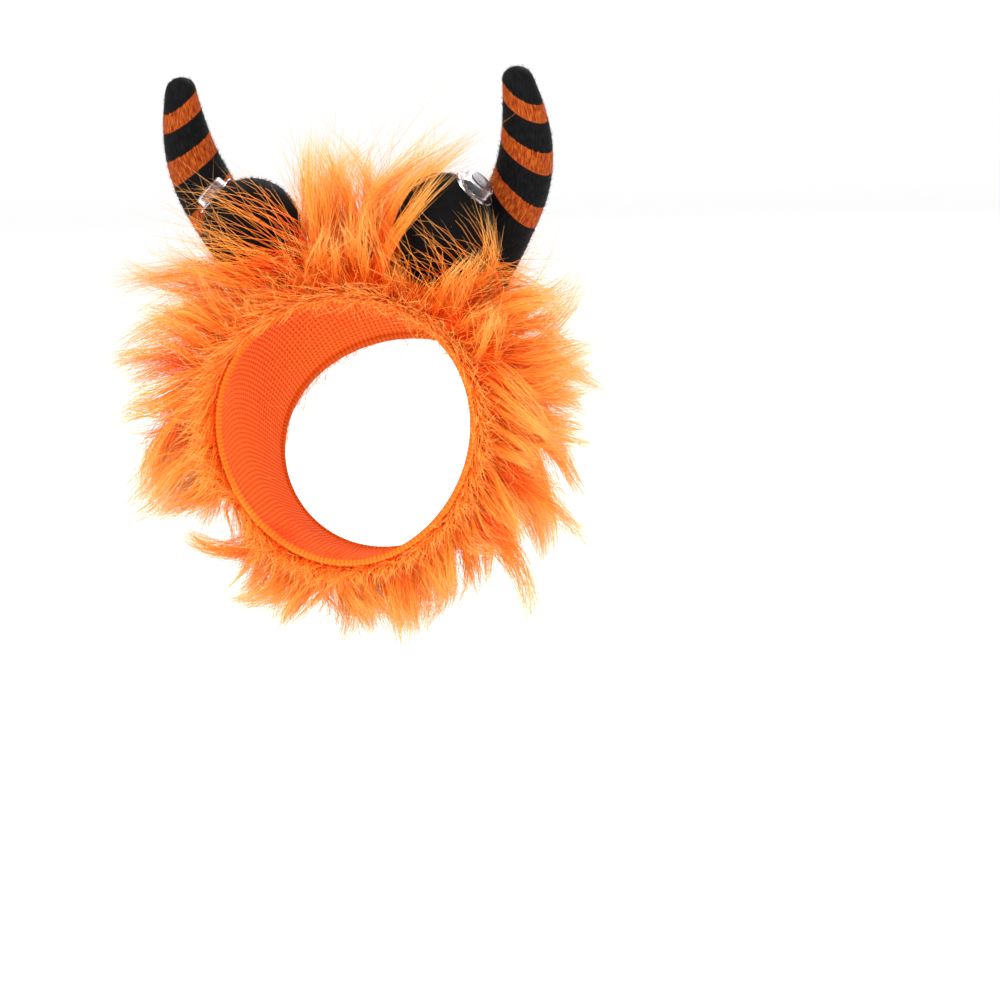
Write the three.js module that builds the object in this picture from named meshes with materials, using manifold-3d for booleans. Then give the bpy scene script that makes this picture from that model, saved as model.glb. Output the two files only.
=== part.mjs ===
// A small pull-on costume hood: a ring of long orange faux fur that frames the face, with two
// stuffed horns, and in front of each horn a black plush ball that carries a clear plastic dome.
//
// The hood is a short knitted tube. Its front rim frames the face and its back rim, tilted back and
// down, lets the neck through. The long fur grows out of the knit, so the fur is one body of locks
// round the tube. Horns and balls are stuffed, and are sewn down to the knit through the fur.
//
// Millimetres. The origin is inside the crown, where the hood rests on the top of the head. The
// face looks along -Y, +Z is up, and +X is the wearer's left.

import * as THREE from "three";
import { mergeVertices } from "three/addons/utils/BufferGeometryUtils.js";
import Module from "manifold-3d";

// The knitted tube.
const HEAD_WIDTH = 112;
const HEAD_HEIGHT = 110;
const HOOD_DEPTH = 76;
const NECK_TILT = THREE.MathUtils.degToRad(38);
const CHIN_TAPER = 0.12; // how much narrower the lower half of every section is than an ellipse
const KNIT = 2;

// The fur.
const PILE_DEPTH = 15; // the dense lower part of the fur, too tight to fall into locks
const RIM_PILE = 0.5; // how deep it is at both rims, as a share of its depth between them
const FUR_LENGTH = 38;
const LOCK_WIDTH = 20;
const LOCK_FLATNESS = 0.6; // a lock's thickness as a share of its width
const CROWN_GAIN = 0.28; // how much higher the fur stands on the crown, and lower under the chin

// The stuffed balls and the clear domes on them.
const BALL_RADIUS = 18.5;
const BALL_SPREAD = 75; // from centre to centre
const BALL_RISE = 19; // of the centre over the crown
const BALL_FORWARD = 17;
const BALL_NECK_RADIUS = 11; // the gathered cloth under a ball, sewn to the knit
const BALL_NECK_AIM = 10; // how far behind the crown the necks point
const DOME_RADIUS = 8.6;
const DOME_CAP_RADIUS = 6.3;
const DOME_HEIGHT = 5;
const DOME_SHOULDER = 1.7; // the radius of the rounded edge between a dome's side and its flat top
const DOME_WALL = 0.9;
const DOME_SINK = 0.9; // how far the rim presses into the ball
const DOME_LIFT = THREE.MathUtils.degToRad(43); // how far a dome looks up from level
const DOME_FORWARD = THREE.MathUtils.degToRad(9); // and how far forward from straight out

// The horns.
const HORN_RADIUS = 12.4;
const HORN_HEIGHT = 101; // from the foot, which is sunk in the fur
const HORN_SPLAY = 35; // how far a horn leans outwards from its foot
const HORN_NOD = 22; // how far its tip comes forward
const HORN_FOOT = 32; // from the middle of the hood to the foot of a horn

// Sewn and glued pieces lie this far apart.
const SEAM_GAP = 0.3;

// Sections of the knitted tube. `at` runs from the face to the neck; `back` is a share of the hood's
// depth, `drop` and `height` of the head's height, `width` of its width and `tilt` of the neck's.
const HOOD_SECTIONS = [
  { at: 0.0, back: -0.04, drop: 0.525, width: 0.93, height: 0.89, tilt: 0.15 }, // rim at the face
  { at: 0.18, back: 0.15, drop: 0.51, width: 0.98, height: 0.96, tilt: 0.05 }, // brow
  { at: 0.42, back: 0.42, drop: 0.5, width: 1.0, height: 1.0, tilt: 0.0 }, // crown
  { at: 0.66, back: 0.68, drop: 0.55, width: 0.97, height: 0.97, tilt: 0.45 }, // nape
  { at: 0.84, back: 0.87, drop: 0.62, width: 0.92, height: 0.91, tilt: 0.8 }, // collar
  { at: 1.0, back: 1.0, drop: 0.67, width: 0.9, height: 0.87, tilt: 1.0 }, // rim at the neck
];
const CROWN_AT = 0.42; // the section that holds the origin

// Rows of fur locks from the face to the neck. `at` is the place along the tube and `arc` the share
// of the way round that a row covers, centred on the crown. `length` is a share of the fur's length
// and `width` of a lock's. A lock starts out from the knit by `out`, towards the neck by `back` and
// downhill by `down`, and at the sides its tip then sinks by `droop` of its length.
const LOCK_ROWS = [
  { at: 0.06, arc: 1, locks: 20, length: 0.8, width: 0.9, out: 0.85, back: -0.1, down: 0.4, droop: 0.1 },
  { at: 0.25, arc: 1, locks: 18, length: 1, width: 1.05, out: 0.8, back: 0.2, down: 0.45, droop: 0.15 },
  { at: 0.38, arc: 0.2, locks: 5, length: 0.9, width: 1, out: 1, back: -0.1, down: 0, droop: 0 },
  { at: 0.47, arc: 1, locks: 16, length: 1, width: 1.1, out: 0.7, back: 0.4, down: 0.45, droop: 0.16 },
  { at: 0.58, arc: 0.22, locks: 5, length: 0.85, width: 1, out: 1, back: 0.2, down: 0, droop: 0 },
  { at: 0.7, arc: 1, locks: 16, length: 1.05, width: 1.1, out: 0.65, back: 0.6, down: 0.45, droop: 0.18 },
  { at: 0.92, arc: 1, locks: 14, length: 1, width: 1, out: 0.5, back: 0.75, down: 0.35, droop: 0.2 },
];
// How thick a lock is along its length, as a share of its width.
const LOCK_SHAPE = [
  { along: 0.0, width: 0.95 },
  { along: 0.42, width: 0.92 },
  { along: 0.78, width: 0.42 },
];
const LOCK_SIDES = 5;
const LENGTH_SPREAD = 0.16; // how much locks of a row differ in length
const SWAY_SPREAD = 0.5; // how far a lock may lean sideways, as a share of its length
const STAND_SPREAD = 0.25; // how far a lock may lean towards the face or the neck
const CURL_SPREAD = 0.3; // how far its tip may curl sideways
const GOLDEN = 0.618034; // its multiples never repeat, so they spread the locks' differences evenly
const NEARBY = 0.01; // a small step along a section or round it, to find which way a surface runs

// Sections of a horn from foot to tip: shares of its height, splay, nod and radius.
const HORN_SECTIONS = [
  { at: 0.0, rise: 0.0, splay: 0.0, nod: 0.0, radius: 1.0 }, // in the fur
  { at: 0.14, rise: 0.13, splay: 0.17, nod: 0.0, radius: 1.01 },
  { at: 0.28, rise: 0.26, splay: 0.38, nod: 0.02, radius: 1.0 },
  { at: 0.42, rise: 0.4, splay: 0.62, nod: 0.1, radius: 0.98 },
  { at: 0.57, rise: 0.55, splay: 0.86, nod: 0.26, radius: 0.92 },
  { at: 0.72, rise: 0.7, splay: 0.98, nod: 0.48, radius: 0.81 },
  { at: 0.84, rise: 0.83, splay: 1.0, nod: 0.7, radius: 0.68 },
  { at: 0.93, rise: 0.93, splay: 0.98, nod: 0.87, radius: 0.53 },
  { at: 0.985, rise: 0.985, splay: 0.96, nod: 0.97, radius: 0.3 },
];
const HORN_TIP = { rise: 1.0, splay: 0.95, nod: 1.0 };
const HORN_SIDES = 16;
const HORN_RINGS = 11;

// Smoothness of the round shapes.
const HOOD_SIDES = 32;
const HOOD_RINGS = 7;
const BALL_SIDES = 20;
const DOME_SIDES = 20;
const DOME_SHOULDER_STEPS = 3;
const WELD = 1e-3; // vertices closer than this are one

const wasm = await Module();
wasm.setup();

/** A closed geometry as a solid that can be joined and cut. */
function toSolid(geometry) {
  const bare = geometry.clone();
  bare.deleteAttribute("normal");
  bare.deleteAttribute("uv");
  const welded = mergeVertices(bare, WELD);
  return new wasm.Manifold(
    new wasm.Mesh({
      numProp: 3,
      vertProperties: welded.attributes.position.array,
      triVerts: new Uint32Array(welded.index.array),
    }),
  );
}

/** The geometry of a solid. */
function toGeometry(solid) {
  const { vertProperties, triVerts } = solid.getMesh();
  const geometry = new THREE.BufferGeometry();
  geometry.setAttribute("position", new THREE.BufferAttribute(vertProperties, 3));
  geometry.setIndex(new THREE.BufferAttribute(triVerts, 1));
  return geometry;
}

/** The outer skin of a solid's largest body, without the crumbs and pockets that locks may leave. */
function outerBody(solid) {
  const largest = (from) => from.decompose().sort((a, b) => b.volume() - a.volume())[0];
  return largest(toSolid(toGeometry(largest(solid)))); // the weld between them pinches pockets off
}

/**
 * A closed skin over rings of points, which turn right-handed about the way they follow each other.
 * With `ends`, a start point and an end point close it; without, the last ring joins the first.
 */
function skinOver(rings, ends) {
  const sides = rings[0].length;
  const points = rings.flat();
  const faces = [];
  const last = ends ? rings.length - 1 : rings.length;
  for (let ring = 0; ring < last; ring++) {
    const next = (ring + 1) % rings.length;
    for (let side = 0; side < sides; side++) {
      const turned = (side + 1) % sides;
      const [a, b] = [ring * sides + side, ring * sides + turned];
      const [c, d] = [next * sides + side, next * sides + turned];
      faces.push(a, b, d, a, d, c);
    }
  }
  if (ends) {
    const start = points.push(ends[0]) - 1;
    const end = points.push(ends[1]) - 1;
    for (let side = 0; side < sides; side++) {
      const turned = (side + 1) % sides;
      const far = last * sides;
      faces.push(start, turned, side, end, far + side, far + turned);
    }
  }
  return new THREE.BufferGeometry().setFromPoints(points).setIndex(faces);
}

/** Reads a table of sections at any place along it, smoothly between its rows. */
function smoothTable(rows) {
  const columns = Object.keys(rows[0]).filter((column) => column !== "at");
  const places = rows.map((row) => row.at);
  const values = rows.flatMap((row) => columns.map((column) => row[column]));
  const between = new THREE.CubicInterpolant(places, values, columns.length);
  return (at) => {
    const found = between.evaluate(at);
    return Object.fromEntries(columns.map((column, i) => [column, found[i]]));
  };
}

/** Evenly spaced numbers from `first` to `last`, both included. */
function steps(first, last, count) {
  return Array.from({ length: count }, (_, i) => THREE.MathUtils.lerp(first, last, i / (count - 1)));
}

/** A number from -1 to 1 that differs for each `index`, the same on every run. */
function spread(index, key) {
  return 2 * ((index * GOLDEN * (key + 1)) % 1) - 1;
}

const hoodSection = smoothTable(HOOD_SECTIONS);

/**
 * A point round the hood, `offset` outside the inner face of the knit. `at` runs from the face rim
 * to the neck rim, and `turn` starts at the top and goes by the wearer's left.
 */
function hoodPoint(at, turn, offset) {
  const { back, drop, width, height, tilt } = hoodSection(at);
  const lean = tilt * NECK_TILT;
  const taper = 1 - (CHIN_TAPER * (1 - Math.cos(turn))) / 2;
  const across = ((width * HEAD_WIDTH) / 2 + offset) * Math.sin(turn) * taper;
  const up = ((height * HEAD_HEIGHT) / 2 + offset) * Math.cos(turn);
  return new THREE.Vector3(
    across,
    (back - CROWN_AT) * HOOD_DEPTH + up * Math.sin(lean),
    -drop * HEAD_HEIGHT + up * Math.cos(lean),
  );
}

/** The ring of points round the hood at one place along it, with the offset worked out by turn. */
function hoodRing(at, offsetAt) {
  return Array.from({ length: HOOD_SIDES }, (_, side) => {
    const turn = (2 * Math.PI * side) / HOOD_SIDES;
    return hoodPoint(at, turn, offsetAt(turn));
  });
}

/** The knitted tube: its outer face from the face to the neck, then its inner face back again. */
function hoodGeometry() {
  const places = steps(0, 1, HOOD_RINGS);
  const outer = places.map((at) => hoodRing(at, () => KNIT));
  const inner = places.map((at) => hoodRing(at, () => 0)).reverse();
  return skinOver([...outer, ...inner]);
}

/** The tube filled to `offset`, drawn out straight past both rims, to cut what sits on the hood. */
function hoodCutter(offset, reach) {
  const rings = steps(0, 1, HOOD_RINGS).map((at) => hoodRing(at, () => offset));
  const normal = (at) => {
    const lean = hoodSection(at).tilt * NECK_TILT;
    return new THREE.Vector3(0, Math.cos(lean), -Math.sin(lean));
  };
  const drawn = (ring, along) => ring.map((point) => point.clone().add(along));
  rings.unshift(drawn(rings[0], normal(0).multiplyScalar(-reach)));
  rings.push(drawn(rings.at(-1), normal(1).multiplyScalar(reach)));
  return toSolid(skinOver(rings, [centreOf(rings[0]), centreOf(rings.at(-1))]));
}

/** The middle of a ring of points. */
function centreOf(ring) {
  return ring.reduce((sum, point) => sum.add(point), new THREE.Vector3()).divideScalar(ring.length);
}

/** How the fur's height changes round the hood: highest on the crown, lowest under the chin. */
function crownGain(turn) {
  return 1 + CROWN_GAIN * Math.cos(turn);
}

/** The dense layer of fur over the knit, thinner towards both rims. */
function rootPile() {
  const places = steps(0, 1, HOOD_RINGS);
  const depth = (at) => PILE_DEPTH * THREE.MathUtils.lerp(RIM_PILE, 1, Math.sin(Math.PI * at));
  const outer = places.map((at) => hoodRing(at, (turn) => KNIT + depth(at) * crownGain(turn)));
  const inner = places.map((at) => hoodRing(at, () => 0)).reverse();
  return toSolid(skinOver([...outer, ...inner]));
}

/** One lock of fur: a tapered clump that grows out of the knit and bends as it goes. */
function furLock(row, turn, index) {
  const rooted = KNIT + PILE_DEPTH / 3; // deep enough in the pile for the lock's foot not to show
  const root = hoodPoint(row.at, turn, rooted);
  const round = hoodPoint(row.at, turn + NEARBY, KNIT).sub(hoodPoint(row.at, turn, KNIT)).normalize();
  const along = hoodPoint(row.at + NEARBY, turn, KNIT).sub(hoodPoint(row.at, turn, KNIT)).normalize();
  const out = new THREE.Vector3().crossVectors(along, round).negate().normalize();
  const down = new THREE.Vector3(0, 0, -1);
  down.addScaledVector(out, -down.dot(out));

  const length = FUR_LENGTH * row.length * crownGain(turn) * (1 + LENGTH_SPREAD * spread(index, 0));
  const heading = out.clone().multiplyScalar(row.out);
  heading.addScaledVector(along, row.back + STAND_SPREAD * spread(index, 1));
  heading.addScaledVector(down, row.down);
  heading.addScaledVector(round, SWAY_SPREAD * spread(index, 2));
  heading.normalize();
  const bend = round.clone().multiplyScalar(CURL_SPREAD * spread(index, 3));
  bend.z -= row.droop * Math.abs(Math.sin(turn));

  const path = (t) =>
    root.clone().addScaledVector(heading, length * t).addScaledVector(bend, length * t * t);
  const rings = LOCK_SHAPE.map(({ along: t, width }) => {
    const ahead = heading.clone().addScaledVector(bend, 2 * t).normalize();
    const thin = new THREE.Vector3().crossVectors(ahead, round).normalize();
    const wide = new THREE.Vector3().crossVectors(thin, ahead);
    const radius = (width * row.width * LOCK_WIDTH) / 2;
    return Array.from({ length: LOCK_SIDES }, (_, side) => {
      const angle = (2 * Math.PI * side) / LOCK_SIDES;
      return path(t)
        .addScaledVector(wide, radius * Math.cos(angle))
        .addScaledVector(thin, radius * LOCK_FLATNESS * Math.sin(angle));
    });
  });
  return toSolid(skinOver(rings, [root, path(1)]));
}

/** The places of all locks, row by row, each row turned half a lock against the one before. */
function lockPlaces() {
  return LOCK_ROWS.flatMap((row, r) =>
    Array.from({ length: row.locks }, (_, i) => {
      const turn = 2 * Math.PI * row.arc * ((i + (r % 2) / 2) / row.locks - 0.5);
      return { row, turn };
    }),
  );
}

/** The fur: locks that are one body with the root pile, cut out for what is sewn through it. */
function furGeometry(throughFur) {
  let locks = rootPile();
  lockPlaces().forEach(({ row, turn }, index) => {
    locks = locks.add(furLock(row, turn, index));
  });
  locks = locks.subtract(hoodCutter(KNIT + SEAM_GAP, 2 * FUR_LENGTH));
  for (const piece of throughFur) locks = locks.subtract(piece);
  return toGeometry(outerBody(locks));
}

/** The middle of the wearer's left ball, and the way from there down to the knit. */
const ballCentre = new THREE.Vector3(BALL_SPREAD / 2, -BALL_FORWARD, BALL_RISE);
const ballDown = new THREE.Vector3(0, BALL_NECK_AIM, -HEAD_HEIGHT / 2).sub(ballCentre).normalize();

/** A stuffed ball with its gathered neck, grown by `grown` where it cuts the fur. */
function ballSolid(grown) {
  const radius = BALL_RADIUS + grown;
  const neck = BALL_NECK_RADIUS + grown;
  const reach = ballCentre.length() + HEAD_HEIGHT / 4; // ends inside the hood, where it is cut off
  const waist = Math.asin(neck / radius);
  const profile = steps(Math.PI, waist, BALL_SIDES / 2).map(
    (angle) => new THREE.Vector2(radius * Math.sin(angle), radius * Math.cos(angle)),
  );
  profile[0].x = 0;
  profile.push(new THREE.Vector2(neck, reach), new THREE.Vector2(0, reach));
  const lathe = new THREE.LatheGeometry(profile, BALL_SIDES);
  lathe.applyQuaternion(turnFrom(new THREE.Vector3(0, 1, 0), ballDown));
  lathe.translate(...ballCentre.toArray());
  return toSolid(lathe);
}

/** The turn that brings direction `a` onto direction `b`. */
function turnFrom(a, b) {
  return new THREE.Quaternion().setFromUnitVectors(a, b);
}

// A dome looks up, out and a little forward from its ball.
const domeAxis = new THREE.Vector3(
  Math.cos(DOME_LIFT) * Math.cos(DOME_FORWARD),
  -Math.cos(DOME_LIFT) * Math.sin(DOME_FORWARD),
  Math.sin(DOME_LIFT),
);
const domeSeat = BALL_RADIUS - DOME_SINK;

/** Puts a shape turned about Y, with its foot at zero, on the flat that the dome has on its ball. */
function ontoDomeSeat(geometry, sink) {
  geometry.translate(0, domeSeat - sink, 0);
  geometry.applyQuaternion(turnFrom(new THREE.Vector3(0, 1, 0), domeAxis));
  return geometry.translate(...ballCentre.toArray());
}

/** The room for the dome's rim, cut into the ball and the fur. */
function domeCutter() {
  const height = 2 * DOME_HEIGHT;
  const room = new THREE.CylinderGeometry(
    DOME_RADIUS + SEAM_GAP,
    DOME_RADIUS + SEAM_GAP,
    height,
    DOME_SIDES,
  );
  return toSolid(ontoDomeSeat(room.translate(0, height / 2, 0), SEAM_GAP));
}

/** The clear dome: a thin moulded cap with a flat rim, open towards the ball. */
function domeGeometry() {
  const flat = DOME_CAP_RADIUS - DOME_SHOULDER;
  const shoulder = (radius) =>
    steps(0, Math.PI / 2, DOME_SHOULDER_STEPS).map((angle) => [
      flat + radius * Math.cos(angle),
      DOME_HEIGHT - DOME_SHOULDER + radius * Math.sin(angle),
    ]);
  const profile = [
    [DOME_CAP_RADIUS - DOME_WALL, 0],
    [DOME_RADIUS, 0],
    [DOME_RADIUS, DOME_WALL],
    [DOME_CAP_RADIUS, DOME_WALL],
    ...shoulder(DOME_SHOULDER),
    [0, DOME_HEIGHT],
    [0, DOME_HEIGHT - DOME_WALL],
    ...shoulder(DOME_SHOULDER - DOME_WALL).reverse(),
    [DOME_CAP_RADIUS - DOME_WALL, 0],
  ].map(([x, y]) => new THREE.Vector2(x, y));
  return ontoDomeSeat(new THREE.LatheGeometry(profile, DOME_SIDES), 0);
}

/** A stuffed horn, grown by `grown` where it cuts the fur. It stands just behind its ball. */
function hornSolid(grown) {
  const behindBall = BALL_RADIUS + HORN_RADIUS + SEAM_GAP - BALL_FORWARD;
  const footTurn = Math.asin((2 * HORN_FOOT) / HEAD_WIDTH);
  const foot = hoodPoint(CROWN_AT + behindBall / HOOD_DEPTH, footTurn, -HORN_RADIUS);
  const place = ({ rise, splay, nod }) =>
    new THREE.Vector3(
      HORN_FOOT + splay * HORN_SPLAY,
      behindBall - nod * HORN_NOD,
      foot.z + rise * HORN_HEIGHT,
    );
  const section = smoothTable(HORN_SECTIONS);
  const lastAt = HORN_SECTIONS.at(-1).at;
  const tip = place(HORN_TIP);
  const rings = steps(0, lastAt, HORN_RINGS).map((at) => {
    const here = section(at);
    const ahead = place(section(Math.min(at + NEARBY, lastAt)))
      .sub(place(section(Math.max(at - NEARBY, 0))))
      .normalize();
    const wide = new THREE.Vector3(0, 1, 0).cross(ahead).normalize();
    const thick = new THREE.Vector3().crossVectors(ahead, wide);
    const radius = here.radius * HORN_RADIUS + grown;
    return Array.from({ length: HORN_SIDES }, (_, side) => {
      const angle = (2 * Math.PI * side) / HORN_SIDES;
      return place(here)
        .addScaledVector(wide, radius * Math.cos(angle))
        .addScaledVector(thick, radius * Math.sin(angle));
    });
  });
  tip.addScaledVector(tip.clone().sub(centreOf(rings.at(-1))).normalize(), grown);
  return toSolid(skinOver(rings, [centreOf(rings[0]), tip]));
}

/** The same solid on the wearer's other side. */
function mirrored(solid) {
  const { vertProperties, triVerts } = solid.getMesh();
  const points = vertProperties.map((value, i) => (i % 3 === 0 ? -value : value));
  const faces = triVerts.map((_, i) => triVerts[i - (i % 3) + [0, 2, 1][i % 3]]);
  return new wasm.Manifold(
    new wasm.Mesh({ numProp: 3, vertProperties: points, triVerts: faces }),
  );
}

const finishes = {
  knit: new THREE.MeshStandardMaterial({ color: 0xe8641a, roughness: 0.95 }),
  fur: new THREE.MeshStandardMaterial({ color: 0xff7a22, roughness: 0.8 }),
  stripedPlush: new THREE.MeshStandardMaterial({ color: 0xb6531c, roughness: 0.9 }),
  blackPlush: new THREE.MeshStandardMaterial({ color: 0x171514, roughness: 0.95 }),
  clearPlastic: new THREE.MeshStandardMaterial({
    color: 0xe6ebf2,
    roughness: 0.08,
    transparent: true,
    opacity: 0.35,
  }),
};

const hat = new THREE.Group();

/** Adds one named piece to the hat. */
function addPiece(name, geometry, finish) {
  const mesh = new THREE.Mesh(geometry, finish);
  mesh.name = name;
  hat.add(mesh);
}

const onKnit = hoodCutter(KNIT + SEAM_GAP, SEAM_GAP);
const ball = ballSolid(0).subtract(onKnit).subtract(domeCutter());
const horn = hornSolid(0).subtract(onKnit);
const dome = toSolid(domeGeometry());
const sewnOn = [ballSolid(SEAM_GAP), hornSolid(SEAM_GAP), domeCutter()];

addPiece("knit_hood", hoodGeometry(), finishes.knit);
addPiece("mane_fur", furGeometry([...sewnOn, ...sewnOn.map(mirrored)]), finishes.fur);
addPiece("horn_left", toGeometry(horn), finishes.stripedPlush);
addPiece("horn_right", toGeometry(mirrored(horn)), finishes.stripedPlush);
addPiece("plush_ball_left", toGeometry(ball), finishes.blackPlush);
addPiece("plush_ball_right", toGeometry(mirrored(ball)), finishes.blackPlush);
addPiece("clear_dome_left", toGeometry(dome), finishes.clearPlastic);
addPiece("clear_dome_right", toGeometry(mirrored(dome)), finishes.clearPlastic);

export default hat;
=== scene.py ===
"""The looks of the costume hood: knit, fur, stuffed horns and balls, clear domes, light and camera."""

import math

import bpy
import numpy as np
from mathutils import Matrix, Vector


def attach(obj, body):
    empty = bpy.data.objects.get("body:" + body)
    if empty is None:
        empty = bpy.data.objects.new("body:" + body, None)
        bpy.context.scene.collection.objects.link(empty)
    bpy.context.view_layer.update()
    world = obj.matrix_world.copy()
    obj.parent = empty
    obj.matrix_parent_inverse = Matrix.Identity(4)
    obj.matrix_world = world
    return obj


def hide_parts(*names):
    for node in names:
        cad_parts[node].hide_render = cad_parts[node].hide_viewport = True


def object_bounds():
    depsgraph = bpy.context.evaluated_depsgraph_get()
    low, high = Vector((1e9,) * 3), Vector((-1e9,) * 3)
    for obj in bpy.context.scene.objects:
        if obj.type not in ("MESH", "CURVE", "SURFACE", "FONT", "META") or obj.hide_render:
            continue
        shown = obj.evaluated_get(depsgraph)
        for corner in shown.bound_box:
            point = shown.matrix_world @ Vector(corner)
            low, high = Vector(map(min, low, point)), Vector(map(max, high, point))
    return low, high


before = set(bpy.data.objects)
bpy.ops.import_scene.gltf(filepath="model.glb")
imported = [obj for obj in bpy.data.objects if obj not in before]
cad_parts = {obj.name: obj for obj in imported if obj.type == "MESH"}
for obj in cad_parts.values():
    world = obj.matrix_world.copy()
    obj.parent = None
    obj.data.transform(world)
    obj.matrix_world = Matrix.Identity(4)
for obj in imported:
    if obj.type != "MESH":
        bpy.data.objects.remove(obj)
cad_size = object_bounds()

# Camera
# It looks at the hood from its front, a little from the wearer's left and from above, and is tipped
# sideways by a few degrees. It aims to the right of the hood and below it, so the hood stands in the
# upper left of the picture.
VIEW_AZIMUTH = math.radians(15)
VIEW_ELEVATION = math.radians(6)
VIEW_ROLL = math.radians(3)
VIEW_DISTANCE = 1.6
AIM_RIGHT = 0.0534
AIM_BELOW = 0.0887
LENS = 150
SENSOR_WIDTH = 36

way_right = Vector((math.cos(VIEW_AZIMUTH), math.sin(VIEW_AZIMUTH), 0))
way_back = Vector((
    math.sin(VIEW_AZIMUTH) * math.cos(VIEW_ELEVATION),
    -math.cos(VIEW_AZIMUTH) * math.cos(VIEW_ELEVATION),
    math.sin(VIEW_ELEVATION),
))
way_up = way_back.cross(way_right)
tipped = Matrix.Rotation(-VIEW_ROLL, 3, way_back)
way_right = tipped @ way_right
way_up = tipped @ way_up
place = way_back * VIEW_DISTANCE
aim_back = (place - way_right * AIM_RIGHT + way_up * AIM_BELOW).normalized()
aim_right = (way_right - aim_back * way_right.dot(aim_back)).normalized()
aim_up = aim_back.cross(aim_right)
camera_data = bpy.data.cameras.new("camera")
camera_data.lens = LENS
camera_data.sensor_width = SENSOR_WIDTH
camera = bpy.data.objects.new("camera", camera_data)
facing = Matrix((aim_right, aim_up, aim_back)).transposed()
camera.matrix_world = Matrix.Translation(place) @ facing.to_4x4()
bpy.context.scene.collection.objects.link(camera)
bpy.context.scene.camera = camera
bpy.context.scene.view_settings.view_transform = "Standard"

# Floor
# A sheet of white studio paper that lies flat under the hood and curves up behind it.
FLOOR_HEIGHT = -0.25
FLOOR_SIZE = 8
PAPER_RISE = 3
PAPER_BEND = 1.2
PAPER_STEPS = 24
NEAR_FLOOR = 0.01


def linear(hex_colour):
    """The scene's own linear values for a colour written as sRGB hex."""
    parts = [int(hex_colour[i : i + 2], 16) / 255 for i in (1, 3, 5)]
    return [p / 12.92 if p <= 0.04045 else ((p + 0.055) / 1.055) ** 2.4 for p in parts] + [1]


def start_material(name):
    """A new material, with its nodes and its Principled shader."""
    material = bpy.data.materials.new(name)
    material.use_nodes = True
    return material, material.node_tree, material.node_tree.nodes["Principled BSDF"]


def set_sockets(node, **values):
    """Sets a node's sockets, each named with _ for the spaces in its name."""
    for name, value in values.items():
        node.inputs[name.replace("_", " ")].default_value = value


def pick_up(name):
    """The object that was just added, under a name of its own."""
    made = bpy.context.object
    made.name = name
    made.data.name = name
    return made


bpy.ops.object.select_all(action="DESELECT")
bpy.ops.mesh.primitive_plane_add(size=FLOOR_SIZE, location=(0, 0, FLOOR_HEIGHT))
paper = pick_up("studio_paper")
bpy.ops.object.transform_apply(location=True, rotation=True, scale=True)
bpy.ops.object.mode_set(mode="EDIT")
bpy.ops.mesh.select_all(action="DESELECT")
bpy.ops.object.mode_set(mode="OBJECT")
for edge in paper.data.edges:
    edge.select = all(paper.data.vertices[v].co.y > 0 for v in edge.vertices)
bpy.ops.object.mode_set(mode="EDIT")
bpy.ops.mesh.select_mode(type="EDGE")
bpy.ops.mesh.extrude_edges_move(TRANSFORM_OT_translate={"value": (0, 0, PAPER_RISE)})
bpy.ops.object.mode_set(mode="OBJECT")
for edge in paper.data.edges:
    ends = [paper.data.vertices[v].co for v in edge.vertices]
    edge.select = all(end.y > 0 and end.z < FLOOR_HEIGHT + NEAR_FLOOR for end in ends)
bpy.ops.object.mode_set(mode="EDIT")
bpy.ops.mesh.bevel(offset=PAPER_BEND, segments=PAPER_STEPS, affect="EDGES")
bpy.ops.mesh.select_all(action="SELECT")
bpy.ops.mesh.normals_make_consistent(inside=False)
bpy.ops.object.mode_set(mode="OBJECT")
bpy.ops.object.shade_smooth()
# White matt paper, so pale that floor and room run into each other
material, tree, shader = start_material("white paper")
set_sockets(shader, Base_Color=linear("#E2E2E2"), Roughness=0.9, Specular_IOR_Level=0.2)
paper.data.materials.append(material)

# Light
# A large soft box from the upper left in front, a weaker one from the right, one from behind for the
# edges of the fur, a low one for the fur under the chin, and a pale room all round.
ROOM_STRENGTH = 1.3


def soft_box(name, place, size, power):
    """A square lamp that faces the hood."""
    lamp_data = bpy.data.lights.new(name, "AREA")
    lamp_data.size = size
    lamp_data.energy = power
    lamp = bpy.data.objects.new(name, lamp_data)
    lamp.location = place
    lamp.rotation_euler = (-Vector(place)).to_track_quat("-Z", "Y").to_euler()
    bpy.context.scene.collection.objects.link(lamp)


soft_box("key_light", (-1.1, -1.5, 1.3), 0.9, 32)
soft_box("side_light", (1.5, -1.0, 0.6), 0.8, 16)
soft_box("back_light", (0.3, 1.5, 1.2), 1.0, 22)
soft_box("low_light", (0.3, -1.5, -0.1), 0.6, 7)
world = bpy.data.worlds.new("pale room")
world.use_nodes = True
room = world.node_tree.nodes["Background"]
set_sockets(room, Color=linear("#FFFFFF"), Strength=ROOM_STRENGTH)
bpy.context.scene.world = world

# Knit hood
# The real piece is a tube of orange knit that is pulled over the head, narrower under the chin. The
# fur is woven into its outside. Both rims are turned in and stitched down.
MM = 0.001
HEAD_WIDTH = 112 * MM
HEAD_HEIGHT = 110 * MM
HOOD_DEPTH = 76 * MM
NECK_TILT = math.radians(38)
CHIN_TAPER = 0.12
CROWN_AT = 0.42
KNIT = 2 * MM
KNIT_RINGS = 15
KNIT_SIDES = 48
KNIT_THICK = 1.4 * MM
KNIT_ENDS = (0.02, 0.985)
KNIT_RIBS = 90
KNIT_ROWS = 44
STITCH_SLANT = 2.6
STITCH_DEPTH = 0.5 * MM
HEM_DEPTH = 3 * MM
HEM_RINGS = 4
FACE_HEM = (-0.015, 0.04)
NECK_HEM = (0.965, 1.01)
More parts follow.
